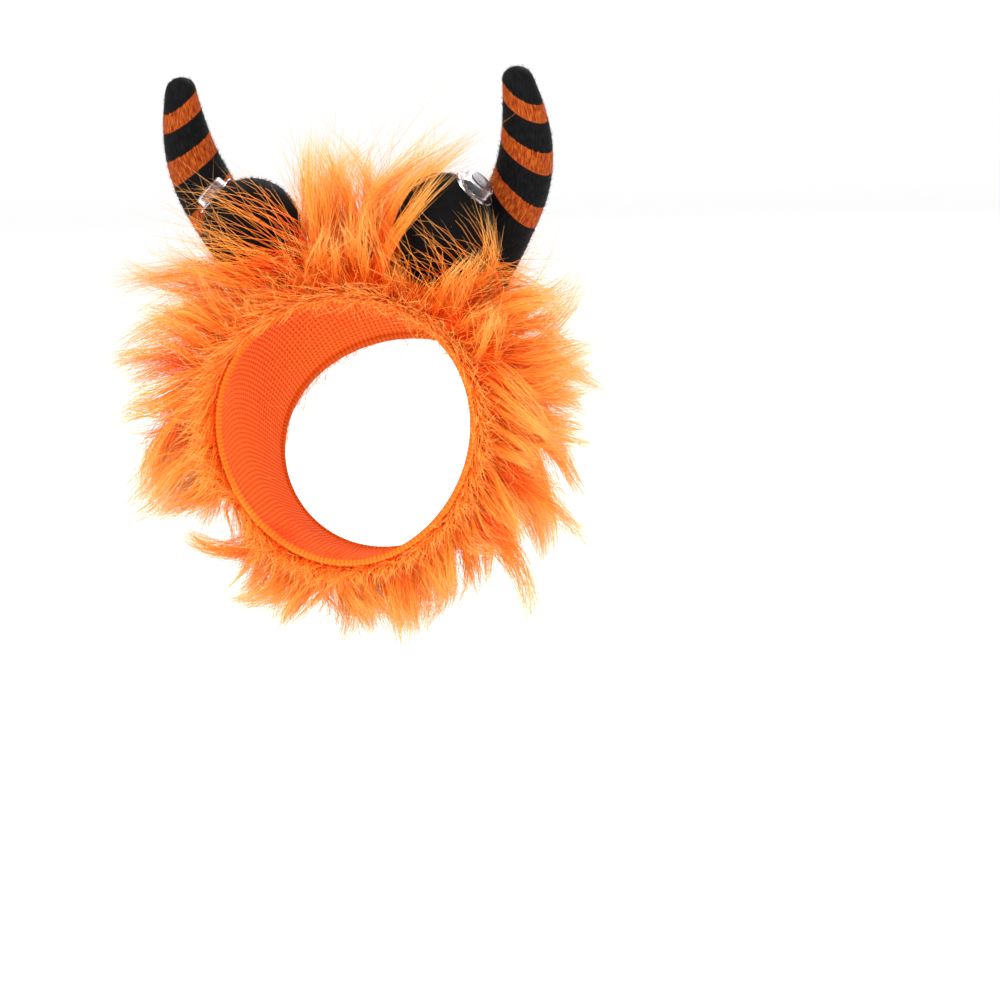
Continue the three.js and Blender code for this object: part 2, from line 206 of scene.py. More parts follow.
# Each row: place along the hood, share of its depth, drop, width, height and tilt
HOOD_SECTIONS = np.array([
    [0.00, -0.04, 0.525, 0.93, 0.89, 0.15],
    [0.18, 0.15, 0.51, 0.98, 0.96, 0.05],
    [0.42, 0.42, 0.5, 1.0, 1.0, 0.0],
    [0.66, 0.68, 0.55, 0.97, 0.97, 0.45],
    [0.84, 0.87, 0.62, 0.92, 0.91, 0.8],
    [1.00, 1.0, 0.67, 0.9, 0.87, 1.0],
])


def read_table(table, places):
    """The rows of a table at any places along it, on a smooth curve through them."""
    at = table[:, 0]
    values = table[:, 1:]
    slopes = np.diff(values, axis=0) / np.diff(at)[:, None]
    tangents = np.vstack([slopes[:1], (slopes[1:] + slopes[:-1]) / 2, slopes[-1:]])
    places = np.atleast_1d(places)
    row = np.clip(np.searchsorted(at, places) - 1, 0, len(at) - 2)
    span = (at[row + 1] - at[row])[:, None]
    t = (places - at[row])[:, None] / span
    return (
        values[row] * (1 + 2 * t) * (1 - t) ** 2
        + values[row + 1] * t**2 * (3 - 2 * t)
        + tangents[row] * span * t * (1 - t) ** 2
        - tangents[row + 1] * span * t**2 * (1 - t)
    )


def draw_out(name, rings, sides, closed, taper=0):
    """A tube drawn out from ring to ring, each (middle, half sizes, turn about X, turn about Y)."""
    bpy.ops.object.select_all(action="DESELECT")
    fill = "NGON" if closed else "NOTHING"
    bpy.ops.mesh.primitive_circle_add(vertices=sides, radius=1, fill_type=fill, calc_uvs=False)
    made = pick_up(name)
    if taper:
        narrowing = made.modifiers.new("taper", "SIMPLE_DEFORM")
        narrowing.deform_method = "TAPER"
        narrowing.deform_axis = "Y"
        narrowing.factor = taper
        bpy.ops.object.modifier_apply(modifier="taper")
    bpy.ops.object.mode_set(mode="EDIT")
    bpy.ops.mesh.select_all(action="SELECT")
    middle, size, about_x, about_y = Vector((0, 0, 0)), (1, 1), 0, 0
    for number, (next_middle, next_size, next_x, next_y) in enumerate(rings):
        step = Vector(next_middle) - middle
        if number:
            bpy.ops.mesh.extrude_region_move(TRANSFORM_OT_translate={"value": step})
        else:
            bpy.ops.transform.translate(value=step)
        middle = Vector(next_middle)
        turn_about("Y", -about_y, middle)
        turn_about("X", -about_x, middle)
        growth = (next_size[0] / size[0], next_size[1] / size[1], 1)
        bpy.ops.transform.resize(value=growth, center_override=middle)
        turn_about("X", next_x, middle)
        turn_about("Y", next_y, middle)
        size, about_x, about_y = next_size, next_x, next_y
    bpy.ops.mesh.select_all(action="SELECT")
    bpy.ops.mesh.normals_make_consistent(inside=False)
    bpy.ops.object.mode_set(mode="OBJECT")
    bpy.ops.object.shade_smooth()
    return made


def turn_about(axis, angle, middle):
    """Turns what is selected in edit mode about a point. The operator counts the other way round."""
    bpy.ops.transform.rotate(value=-angle, orient_axis=axis, center_override=middle)


def apply_modifier(piece, kind, **settings):
    """Adds a modifier with these settings and applies it."""
    bpy.ops.object.select_all(action="DESELECT")
    piece.select_set(True)
    bpy.context.view_layer.objects.active = piece
    modifier = piece.modifiers.new(kind.lower(), kind)
    for setting, value in settings.items():
        setattr(modifier, setting, value)
    bpy.ops.object.modifier_apply(modifier=modifier.name)


def hood_ring(at, offset):
    """One ring of the hood for draw_out, its half sizes grown by offset."""
    back, drop, width, height, tilt = read_table(HOOD_SECTIONS, at)[0]
    middle = Vector((0, (back - CROWN_AT) * HOOD_DEPTH, -drop * HEAD_HEIGHT))
    sizes = (width * HEAD_WIDTH / 2 + offset, height * HEAD_HEIGHT / 2 + offset)
    return middle, (sizes[0] * (1 - CHIN_TAPER / 2), sizes[1]), math.pi / 2 - tilt * NECK_TILT, 0


def hood_tube(name, first, last, rings, sides, offset):
    """A tube round the hood, from one place along it to another, offset from the knit's inner face."""
    places = np.linspace(first, last, rings)
    taper = CHIN_TAPER / (1 - CHIN_TAPER / 2)
    return draw_out(name, [hood_ring(at, offset) for at in places], sides, False, taper)


def map_rings(piece, sides, distances, name="OFBake"):
    """Gives a drawn-out piece a map: round the rings across, the distance along it upwards."""
    along = np.array(distances) / distances[-1]
    columns = list(range(len(piece.data.vertices)))
    for low, high in sorted(sorted(edge.vertices) for edge in piece.data.edges):
        if high // sides > low // sides:
            columns[high] = columns[low]
    layer = piece.data.uv_layers.new(name=name)
    for polygon in piece.data.polygons:
        numbers = [columns[piece.data.loops[i].vertex_index] for i in polygon.loop_indices]
        over = 0 in numbers and sides - 1 in numbers
        for i, number in zip(polygon.loop_indices, numbers):
            ring = piece.data.loops[i].vertex_index // sides
            layer.data[i].uv = ((sides if over and number == 0 else number) / sides, along[ring])


def add_node(tree, kind, fields=None, values=None, links=None):
    """Adds a node to a material, with its fields and socket values set and its inputs linked."""
    made = tree.nodes.new(kind)
    for field, value in (fields or {}).items():
        setattr(made, field, value)
    for socket, value in (values or {}).items():
        made.inputs[socket].default_value = value
    for socket, source in (links or {}).items():
        tree.links.new(source, made.inputs[socket])
    return made


def work_out(tree, operation, first, second=0.0):
    """A Math node's result: each side is a number or the output of another node."""
    made = add_node(tree, "ShaderNodeMath", {"operation": operation})
    for socket, value in enumerate((first, second)):
        if isinstance(value, (int, float)):
            made.inputs[socket].default_value = value
        else:
            tree.links.new(value, made.inputs[socket])
    return made.outputs[0]


knit = hood_tube("knit_hood_cloth", *KNIT_ENDS, KNIT_RINGS, KNIT_SIDES, KNIT / 2)
map_rings(knit, KNIT_SIDES, range(KNIT_RINGS), "weave")
apply_modifier(knit, "SOLIDIFY", thickness=KNIT_THICK, offset=0)
apply_modifier(knit, "SUBSURF", levels=1, render_levels=1)
face_hem = hood_tube("knit_face_hem", *FACE_HEM, HEM_RINGS, KNIT_SIDES, KNIT / 2)
neck_hem = hood_tube("knit_neck_hem", *NECK_HEM, HEM_RINGS, KNIT_SIDES, KNIT / 2)
for hem in (face_hem, neck_hem):
    map_rings(hem, KNIT_SIDES, range(HEM_RINGS), "weave")
    apply_modifier(hem, "SOLIDIFY", thickness=HEM_DEPTH, offset=0)
    apply_modifier(hem, "SUBSURF", levels=1, render_levels=1)
# Orange acrylic knit, matt, with its stitches in rows of small V shapes. They are drawn 2 mm apart, a
# little coarser than the real ones, so that they show
material, tree, shader = start_material("orange knit")
place = add_node(tree, "ShaderNodeUVMap", {"uv_map": "weave"})
split = add_node(tree, "ShaderNodeSeparateXYZ", links={"Vector": place.outputs["UV"]})
ribs = work_out(tree, "MULTIPLY", split.outputs["X"], 2 * math.pi * KNIT_RIBS)
across = work_out(tree, "ABSOLUTE", work_out(tree, "SINE", ribs))
rows = work_out(tree, "MULTIPLY", split.outputs["Y"], 2 * math.pi * KNIT_ROWS)
slanted = work_out(tree, "MULTIPLY", across, STITCH_SLANT)
loops = work_out(tree, "SINE", work_out(tree, "ADD", rows, slanted))
height = work_out(tree, "ADD", across, work_out(tree, "MULTIPLY", loops, 0.45))
bump = add_node(
    tree, "ShaderNodeBump", None, {"Strength": 0.6, "Distance": STITCH_DEPTH}, {"Height": height}
)
# Painted shade and light: the colour follows the stitch height, darker orange in the hollows and lighter
# on the raised parts
shade = add_node(tree, "ShaderNodeValToRGB", links={"Fac": height})
shade.color_ramp.elements[0].color = linear("#D9480A")
shade.color_ramp.elements[1].color = linear("#FA7A1C")
tree.links.new(shade.outputs["Color"], shader.inputs["Base Color"])
tree.links.new(bump.outputs["Normal"], shader.inputs["Normal"])
set_sockets(shader, Roughness=0.85, Specular_IOR_Level=0.2)
for piece in (knit, face_hem, neck_hem):
    piece.data.materials.append(material)
    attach(piece, "root")
    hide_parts("knit_hood")

# Undercoat
# The short dense fur that stands between the long fibres, close to the knit. It is woven into the
# knit with them, and ends a little short of both rims.
UNDERCOAT_FROM = 2.2 * MM
UNDERCOAT_DEPTH = 3.5 * MM
UNDERCOAT_ENDS = (0.04, 0.96)
UNDERCOAT_RINGS = 22
UNDERCOAT_SIDES = 72
TUFT_SIZE = 3 * MM
TUFT_DEPTH = 3 * MM
ROOT_SIZE = 1.6 * MM

undercoat = hood_tube(
    "mane_undercoat", *UNDERCOAT_ENDS, UNDERCOAT_RINGS, UNDERCOAT_SIDES, UNDERCOAT_FROM
)
apply_modifier(undercoat, "SOLIDIFY", thickness=UNDERCOAT_DEPTH, offset=1)
apply_modifier(undercoat, "SUBSURF", levels=1, render_levels=1)
tufts = bpy.data.textures.new("tufts", "CLOUDS")
tufts.noise_scale = TUFT_SIZE
apply_modifier(undercoat, "DISPLACE", texture=tufts, strength=TUFT_DEPTH, mid_level=0.5)
bpy.data.textures.remove(tufts)
# Orange fur roots, mottled from strand to strand, which the eye sees between the fibres. Their deep,
# darkened orange is painted shade for the roots that lie deep under the fibres
material, tree, shader = start_material("orange fur roots with painted shade")
place = add_node(tree, "ShaderNodeTexCoord")
strands = add_node(
    tree,
    "ShaderNodeTexNoise",
    None,
    {"Scale": 1 / ROOT_SIZE, "Detail": 2},
    {"Vector": place.outputs["Object"]},
)
shade = add_node(tree, "ShaderNodeValToRGB", links={"Fac": strands.outputs[0]})
# Painted shade: both mottle colours are kept dark for the shade among the fibre roots
shade.color_ramp.elements[0].position = 0.35
shade.color_ramp.elements[0].color = linear("#C43002")
shade.color_ramp.elements[1].position = 0.65
shade.color_ramp.elements[1].color = linear("#F0520A")
tree.links.new(shade.outputs["Color"], shader.inputs["Base Color"])
set_sockets(shader, Roughness=0.9, Specular_IOR_Level=0.1)
undercoat.data.materials.append(material)
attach(undercoat, "root")
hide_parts("mane_fur")

# Long fur
# Acrylic fibres of 3 to 5 cm, woven into the knit. They lean back along the hood and droop at its
# sides, stand up on the crown, and hang together in clumps inside larger locks. Each fibre that is
# drawn stands for several real ones, which are too fine to show.
FUR_LENGTH = 37.5 * MM
PILE_DEPTH = 15 * MM
CROWN_GAIN = 0.28
FULLER_SIDE = 0.18
LENGTH_SPREAD = 0.16
SWAY_SPREAD = 0.5
STAND_SPREAD = 0.25
CURL_SPREAD = 0.3
GOLDEN = 0.618034
NEARBY = 0.01
PARTING_TURN = math.radians(-122)
PARTING_WIDTH = 0.19
PARTING_DEPTH = 0.58
CLUMPS = 1500
FIBRES = 21500
CREST_FIBRES = 2000
SHORT_FIBRES = 11500
RIM_FIBRES = 3600
NAPE_FIBRES = 1900
FUR_PROUD = 12 * MM
STUBBLE = 0.22
FIBRE_WIDTH = 0.27 * MM
FIBRE_TAPER = 0.75
FIBRE_CURL = 0.05
FIBRE_SWAY = 0.7 * MM
LOCK_PULL = 0.82
LOCK_CLOSING = 0.75
LOCK_WAVE = 2.5 * MM
SINGLE_CURL = 4 * MM
CLUMP_PULL = 0.88
STRAY_PULL = 0.2
STRAY_CURL = 0.22
CREST_TURN = 0.6
CREST_ENDS = (0.3, 0.65)
CREST_SHARE = 0.6
CREST_SETTINGS = [0.95, 1, 0, 0, 0]
TINTS = 64
LONG_PARTS = 4
LAID_OVER = (0.2 * MM, 2 * MM)
SINGLE_OUT = (0.25, 0.9)
SINGLE_REACH = (0.5, 1.3)
BALL_CENTRE = np.array([37.5, -17, 19]) * MM
BALL_RADIUS = 18.5 * MM
BALL_NECK_RADIUS = 11 * MM
BALL_DEEP = 0.55
BALL_FRONT = 0.92
BALL_LOWEST = 0.85
BALL_AIM = np.array([0, 10, -55]) * MM
HORN_RADIUS = 12.4 * MM
HORN_INSIDE = 0.9
HORN_FOOT = 32 * MM
HORN_BEHIND = 14.2 * MM
FACE_CLEARANCE = 0.86
NECK_CLEARANCE = 0.98
RIM_MARGIN = 4 * MM
# Each loose lock: fibres, root, middle and tip in mm, and how far its root and its tip spread. The
# first seven lie over the balls, the others stand out of the mane round the face.
LOOSE_LOCKS = [
    (66, (-14, -22, 2), (-36, -46, 14), (-60, -30, 22), 10, 20),
    (32, (-13, -22, 10), (-32, -44, 32), (-58, -22, 36), 9, 16),
    (54, (-20, -28, -5), (-40, -48, 4), (-62, -34, 8), 10, 18),
    (80, (12, -30, -2), (22, -44, 16), (46, -30, 42), 3.5, 5),
    (34, (12, -20, 6), (20, -36, 28), (38, -22, 46), 6, 9),
    (36, (46, -26, -8), (40, -46, 6), (28, -38, 18), 16, 20),
    (16, (60, -14, -8), (58, -36, 10), (48, -34, 24), 10, 14),
    (210, (-28, -34, -98), (-50, -42, -108), (-67, -36, -95), 9, 5),
    (60, (-22, -34, -106), (-30, -38, -120), (-38, -32, -122), 7, 6),
    (150, (-27, -30, 5), (-56, -24, 4), (-102, -6, -4), 9, 7),
    (90, (-35, -22, -2), (-70, -14, -10), (-96, -2, 6), 9, 6),
    (110, (-58, -22, -34), (-84, -12, -28), (-105, 0, -37), 8, 5),
    (150, (-60, -30, -52), (-82, -30, -62), (-77, -28, -88), 9, 6),
    (90, (-60, -30, -60), (-86, -20, -58), (-88, -20, -86), 8, 6),
    (110, (57, -26, -76), (78, -28, -84), (90, -20, -107), 8, 7),
    (120, (48, -32, -94), (72, -32, -106), (66, -30, -138), 9, 8),
    (70, (16, -36, -110), (26, -38, -126), (15, -36, -138), 8, 8),
    (70, (-8, -36, -108), (-22, -38, -122), (-29, -34, -133), 7, 6),
]
# Each row of locks: place, share of the round, locks, length, out, back, down and droop
LOCK_ROWS = np.array([
    [0.06, 1, 20, 0.8, 0.85, -0.1, 0.4, 0.1],
    [0.25, 1, 18, 1, 0.8, 0.2, 0.45, 0.15],
    [0.38, 0.2, 5, 0.9, 1, -0.1, 0, 0],
    [0.47, 1, 16, 1, 0.7, 0.4, 0.45, 0.16],
    [0.58, 0.22, 5, 0.85, 1, 0.2, 0, 0],
    [0.7, 1, 16, 1.05, 0.65, 0.6, 0.45, 0.18],
    [0.92, 1, 14, 1, 0.5, 0.75, 0.35, 0.2],
])
dice = np.random.default_rng(11)


def unit(vectors):
    """The same directions, one long."""
    return vectors / np.linalg.norm(vectors, axis=-1, keepdims=True)


def hood_points(at, turn, offset):
    """Points round the hood, offset outside the knit's inner face. Turn starts at the top."""
    back, drop, width, height, tilt = read_table(HOOD_SECTIONS, at).T
    lean = tilt * NECK_TILT
    across = (width * HEAD_WIDTH / 2 + offset) * np.sin(turn)
    across *= 1 - CHIN_TAPER * (1 - np.cos(turn)) / 2
    up = (height * HEAD_HEIGHT / 2 + offset) * np.cos(turn)
    depth = (back - CROWN_AT) * HOOD_DEPTH + up * np.sin(lean)
    return np.stack([across, depth, up * np.cos(lean) - drop * HEAD_HEIGHT], axis=1)


class Growth:
    """Fibres or locks that grow out of the hood: their roots, and the way each one goes."""

    def __init__(self, at, turn, settings, chance, rooted):
        length, out, back, down, droop = settings
        here = hood_points(at, turn, KNIT)
        around = unit(hood_points(at, turn + NEARBY, KNIT) - here)
        along = unit(hood_points(at + NEARBY, turn, KNIT) - here)
        outward = unit(np.cross(around, along))
        low = np.array([0, 0, -1.0]) + outward * outward[:, 2:]
        self.root = hood_points(at, turn, rooted)
        gain = 1 + CROWN_GAIN * np.cos(turn) - FULLER_SIDE * np.sin(turn)
        parted = np.exp(-(((turn - PARTING_TURN) / PARTING_WIDTH) ** 2))
        gain *= 1 - PARTING_DEPTH * parted
        self.length = FUR_LENGTH * length * gain * (1 + LENGTH_SPREAD * chance[0])
        heading = outward * out[:, None] + along * (back + STAND_SPREAD * chance[1])[:, None]
        aside = SWAY_SPREAD * chance[2] + parted * np.sign(turn - PARTING_TURN)
        heading += low * down[:, None] + around * aside[:, None]
        self.heading = unit(heading)
        self.bend = around * (CURL_SPREAD * chance[3])[:, None]
        self.bend[:, 2] -= droop * np.abs(np.sin(turn))

    def path(self, which, share):
        """Points along some of them, each at its own shares of the length."""
        reach = (self.length[which, None] * share)[..., None]
        bend = self.bend[which, None] * share[..., None]
        return self.root[which, None] + (self.heading[which, None] + bend) * reach


lock_at, lock_turn, lock_settings = [], [], []
for number, row in enumerate(LOCK_ROWS):
    for i in range(int(row[2])):
        lock_at.append(row[0])
        lock_turn.append(2 * math.pi * row[1] * ((i + (number % 2) / 2) / row[2] - 0.5))
        lock_settings.append(row[3:])
lock_numbers = np.arange(len(lock_at))
lock_chance = [2 * ((lock_numbers * GOLDEN * (key + 1)) % 1) - 1 for key in range(4)]
lock_at, lock_turn, lock_settings = np.array(lock_at), np.array(lock_turn), np.array(lock_settings).T
locks = Growth(lock_at, lock_turn, lock_settings, lock_chance, KNIT + PILE_DEPTH / 3)

full_rows = LOCK_ROWS[LOCK_ROWS[:, 1] == 1]
clump_at = dice.uniform(0.0, 1.0, CLUMPS)
clump_turn = dice.uniform(-math.pi, math.pi, CLUMPS)
clump_settings = np.array([
    np.interp(clump_at, full_rows[:, 0], column) for column in full_rows[:, 3:].T
])
on_crest = (np.abs(clump_turn) < CREST_TURN) & (dice.uniform(size=CLUMPS) < CREST_SHARE)
on_crest &= (clump_at > CREST_ENDS[0]) & (clump_at < CREST_ENDS[1])
clump_settings[:, on_crest] = np.array(CREST_SETTINGS)[:, None]
clump_chance = dice.uniform(-1, 1, (4, CLUMPS))
clumps = Growth(clump_at, clump_turn, clump_settings, clump_chance, KNIT)
apart = np.linalg.norm(clumps.root[:, None] - locks.root[None], axis=2)
own_lock = apart.argmin(axis=1)
lock_wave = unit(dice.normal(size=(len(lock_at), 3))) * LOCK_WAVE
lock_phase = dice.uniform(0, 2 * math.pi, (len(lock_at), 1))


def clump_path(which, share):
    """Points along clumps: each leans from its own way towards the lock that it is part of."""
    own = clumps.path(which, share)
    lock = own_lock[which]
    beside = (clumps.root[which] - locks.root[lock])[:, None] * (1 - LOCK_CLOSING * share)[..., None]
    wave = lock_wave[lock][:, None] * (np.sin(6 * share + lock_phase[lock]) * share)[..., None]
    return own + wave + (locks.path(lock, share) + beside - own) * (LOCK_PULL * share)[..., None]


def grow_fibres(at, turn, shares, shortest, longest, stray):
    """The paths of fibres that root at places on the hood, each one part of a clump."""
    count = len(at)
    root = hood_points(at, turn, KNIT)
    clump = np.empty(count, int)
    for start in range(0, count, 2000):
        part = slice(start, start + 2000)
        clump[part] = np.linalg.norm(root[part, None] - clumps.root[None], axis=2).argmin(axis=1)
    share = shares[None] * dice.uniform(shortest, longest, (count, 1))
    wild = (dice.uniform(size=count) < stray)[:, None]
    pull = np.where(wild, STRAY_PULL, CLUMP_PULL) * shares[None] ** 0.8
    base = clump_path(clump, share)
    paths = base + (root - clumps.root[clump])[:, None] * (1 - pull)[..., None]
    length = clumps.length[clump][:, None, None]
    curl = dice.normal(size=(count, 1, 3)) * np.where(wild, STRAY_CURL, FIBRE_CURL)[..., None]
    wave = np.sin(shares[None] * dice.uniform(4, 9, (count, 1)) + dice.uniform(0, 6, (count, 1)))
    sway = unit(dice.normal(size=(count, 1, 3))) * (wave * shares[None])[..., None] * FIBRE_SWAY
    paths += curl * length * (shares**2)[None, :, None] + sway
    return paths


def push_out(paths, middle, radius, deepest):
    """Lays the fibres that graze a round thing on its face, and tells which go too deep into it."""
    away = paths - middle
    radius = radius + dice.uniform(*LAID_OVER, (len(paths), 1, 1))
    distance = np.linalg.norm(away, axis=2, keepdims=True)
    deep = (distance[..., 0] < deepest).any(axis=1)
    inside = distance < radius
    return np.where(inside, middle + away / np.maximum(distance, 1e-6) * radius, paths), deep


def fibre_mesh(name, paths, shares, width, corner):
    """One mesh of three-sided fibres. Each has its own part of the map: corner, width and height."""
    count, rings = paths.shape[:2]
    ahead = unit(np.gradient(paths, axis=1))
    across = unit(np.cross(ahead, dice.normal(size=(count, 1, 3))))
    upright = np.cross(ahead, across)
    body = rings - 1
    angles = 2 * math.pi * np.arange(3) / 3
    thick = (width[:, None] / 2 * (1 - FIBRE_TAPER * shares[None, :body] ** 2))[..., None, None]
    round_it = across[:, :body, None] * np.cos(angles)[:, None]
    round_it = round_it + upright[:, :body, None] * np.sin(angles)[:, None]
    sides = paths[:, :body, None] + round_it * thick
    points = np.concatenate([sides.reshape(count, -1, 3), paths[:, -1:]], axis=1)
    a, b = np.meshgrid(np.arange(body - 1), np.arange(3), indexing="ij")
    a, b = a.ravel(), b.ravel()
    nxt = (b + 1) % 3
    quads = np.stack([a * 3 + b, a * 3 + nxt, (a + 1) * 3 + nxt, (a + 1) * 3 + b], axis=1)
    quad_u = np.stack([b, b + 1, b + 1, b], axis=1) / 3
    quad_v = np.stack([shares[a], shares[a], shares[a + 1], shares[a + 1]], axis=1)
    side = np.arange(3)
    last = (body - 1) * 3
    tips = np.stack([last + side, last + (side + 1) % 3, np.full(3, body * 3)], axis=1)
    tip_u = np.stack([side, side + 1, side + 0.5], axis=1) / 3
    tip_v = np.stack([np.full(3, shares[-2]), np.full(3, shares[-2]), np.full(3, shares[-1])], axis=1)
    start = np.arange(count)[:, None] * points.shape[1]
    corners = np.concatenate([(start + quads.ravel()).ravel(), (start + tips.ravel()).ravel()])
    from_u, from_v, wide, high = corner.T[:, :, None]
    u = np.concatenate([(from_u + wide * part.ravel()).ravel() for part in (quad_u, tip_u)])
    v = np.concatenate([(from_v + high * part.ravel()).ravel() for part in (quad_v, tip_v)])
    quad_count, tip_count = count * len(quads), count * 3
    starts = np.concatenate([np.arange(quad_count) * 4, quad_count * 4 + np.arange(tip_count) * 3])
    mesh = bpy.data.meshes.new(name)
    mesh.vertices.add(points.shape[0] * points.shape[1])
    mesh.vertices.foreach_set("co", points.astype(np.float32).ravel())
    mesh.loops.add(len(corners))
    mesh.loops.foreach_set("vertex_index", corners.astype(np.int32))
    mesh.polygons.add(len(starts))
    mesh.polygons.foreach_set("loop_start", starts.astype(np.int32))
    layer = mesh.uv_layers.new(name="OFBake")
    layer.data.foreach_set("uv", np.stack([u, v], axis=1).astype(np.float32).ravel())
    mesh.update(calc_edges=True)
    mesh.shade_smooth()
    made = bpy.data.objects.new(name, mesh)
    bpy.context.scene.collection.objects.link(made)
    return made


def add_ramp(tree, source, stops, interpolation="LINEAR"):
    """A colour for each place from 0 to 1: stops are (place, colour)."""
    made = add_node(tree, "ShaderNodeValToRGB", links={"Fac": source})
    made.color_ramp.interpolation = interpolation
    for number, (place, colour) in enumerate(stops):
        if number < 2:
            stop = made.color_ramp.elements[number]
            stop.position = place
        else:
            stop = made.color_ramp.elements.new(place)
        stop.color = linear(colour)
    return made.outputs["Color"]


def clear_of_pieces(paths, before_ball):
    """The fibres that root clear of balls and horns. Those that graze a ball are laid over it. Those that
    go deep into it, and most that hide it, are cut short. Nothing turns a fibre away from a horn."""
    keep = np.ones(len(paths), bool)
    lucky = dice.uniform(size=len(paths)) < before_ball
    for side in (1, -1):
        mirror = np.array([side, 1, 1])
        centre = BALL_CENTRE * mirror
        down = unit(BALL_AIM * mirror - centre)
        to_root = paths[:, 0] - centre
        off_axis = np.linalg.norm(to_root - (to_root @ down)[:, None] * down, axis=1)
        keep &= off_axis > BALL_NECK_RADIUS
        horn_foot = paths[:, 0, :2] - np.array([side * HORN_FOOT, HORN_BEHIND])
        keep &= np.linalg.norm(horn_foot, axis=1) > HORN_RADIUS * HORN_INSIDE
        paths, deep = push_out(paths, centre, BALL_RADIUS, BALL_RADIUS * BALL_DEEP)
        away = paths - centre
        beside = np.linalg.norm(away[..., (0, 2)], axis=2) < BALL_RADIUS * BALL_FRONT
        before = (away[..., 1] < 0) & (away[..., 2] > -BALL_LOWEST * BALL_RADIUS)
        hides = (beside & before).any(axis=1)
        cut = deep | (hides & ~lucky)
        paths[cut] = paths[cut, :1] + (paths[cut] - paths[cut, :1]) * STUBBLE
    return paths[keep]


def all_over(count):
    """Random places on the hood: how far along it, and how far round."""
    return dice.uniform(0.0, 1.0, count), dice.uniform(-math.pi, math.pi, count)


def single_fibres(at, turn, length, lean, shares):
    """Fibres outside any clump, each with its own way and curl. Lean is how far they point back."""
    count = len(at)
    chance = dice.uniform(-1, 1, (4, count))
    settings = [np.full(count, value) for value in (length, 0, lean, 0.1, 0)]
    settings[1] = dice.uniform(*SINGLE_OUT, count)
    grown = Growth(at, turn, np.stack(settings), chance, KNIT)
    reach = dice.uniform(*SINGLE_REACH, (count, 1))
    curl = unit(dice.normal(size=(count, 1, 3))) * (shares**2)[None, :, None] * SINGLE_CURL
    return grown.path(np.arange(count), shares * reach) + curl


def loose_fibres(shares):
    """The fibres of the loose locks, each from its root past a middle point to its tip."""
    grown = []
    for count, root, over, tip, root_spread, tip_spread in LOOSE_LOCKS:
        t = shares[None, :, None] * dice.uniform(0.8, 1.1, (count, 1, 1))
        loose = dice.normal(size=(3, count, 1, 3)) * MM / 2
        first = np.array(root) * MM + loose[0] * root_spread
        middle = np.array(over) * MM + loose[1] * (root_spread + tip_spread) / 2
        last = np.array(tip) * MM + loose[2] * tip_spread
        paths = first * (1 - t) ** 2 + 2 * middle * t * (1 - t) + last * t**2
        grown.append(paths + dice.normal(size=paths.shape) * t * 0.5 * MM)
    return np.concatenate(grown)


def within_room(paths):
    """Shortens the fibres that would stand too far out of the hood's own box."""
    low = np.array(cad_size[0]) - FUR_PROUD
    high = np.array(cad_size[1]) + FUR_PROUD
    reach = paths - paths[:, :1]
    room = np.where(reach > 0, high, low) - paths[:, :1]
    over = np.maximum((reach / room).max(axis=(1, 2), keepdims=True), 1)
    return paths[:, :1] + reach / over


def clear_of_head(paths):
    """The fibres that stay out of the room for the head and neck."""
    keep = np.ones(len(paths), bool)
    for at, sign, share in ((0.0, -1, FACE_CLEARANCE), (1.0, 1, NECK_CLEARANCE)):
        back, drop, width, height, tilt = read_table(HOOD_SECTIONS, at)[0]
        lean = tilt * NECK_TILT
        middle = np.array([0, (back - CROWN_AT) * HOOD_DEPTH, -drop * HEAD_HEIGHT])
        away = paths - middle
        beyond = sign * (away @ np.array([0, math.cos(lean), -math.sin(lean)])) > -RIM_MARGIN
        up = away @ np.array([0, math.sin(lean), math.cos(lean)])
        across = away[..., 0] / (width * HEAD_WIDTH / 2)
        inside = across**2 + (up / (height * HEAD_HEIGHT / 2)) ** 2 < share**2
        keep &= ~(inside & beyond).any(axis=1)
    return paths[keep]


long_shares = np.array([0, 0.2, 0.4, 0.6, 0.8, 1.0])
short_shares = np.array([0, 0.35, 0.7, 1.0])
crest_at = dice.uniform(0.15, 0.7, CREST_FIBRES)
crest_turn = dice.normal(size=CREST_FIBRES) * 0.3
long_at, long_turn = all_over(FIBRES)
long_at = np.concatenate([long_at, crest_at])
long_turn = np.concatenate([long_turn, crest_turn])
long_paths = clear_of_pieces(grow_fibres(long_at, long_turn, long_shares, 0.75, 1.2, 0.16), 0.04)
short_paths = grow_fibres(*all_over(SHORT_FIBRES), short_shares, 0.3, 0.65, 0.3)
short_paths = clear_of_pieces(short_paths, 0.1)
long_paths = within_room(clear_of_head(long_paths))
loose_paths = within_room(clear_of_pieces(loose_fibres(long_shares), 1))
short_paths = within_room(clear_of_head(short_paths))
rim_at = dice.uniform(-0.01, 0.06, RIM_FIBRES)
rim_turn = dice.uniform(-math.pi, math.pi, RIM_FIBRES)
nape_at = dice.uniform(0.42, 0.98, NAPE_FIBRES)
nape_turn = dice.normal(size=NAPE_FIBRES) * 0.45
single_paths = np.concatenate([
    single_fibres(rim_at, rim_turn, 0.42, -0.85, short_shares),
    single_fibres(nape_at, nape_turn, 0.5, 0.6, short_shares),
])
single_paths = within_room(clear_of_head(single_paths))
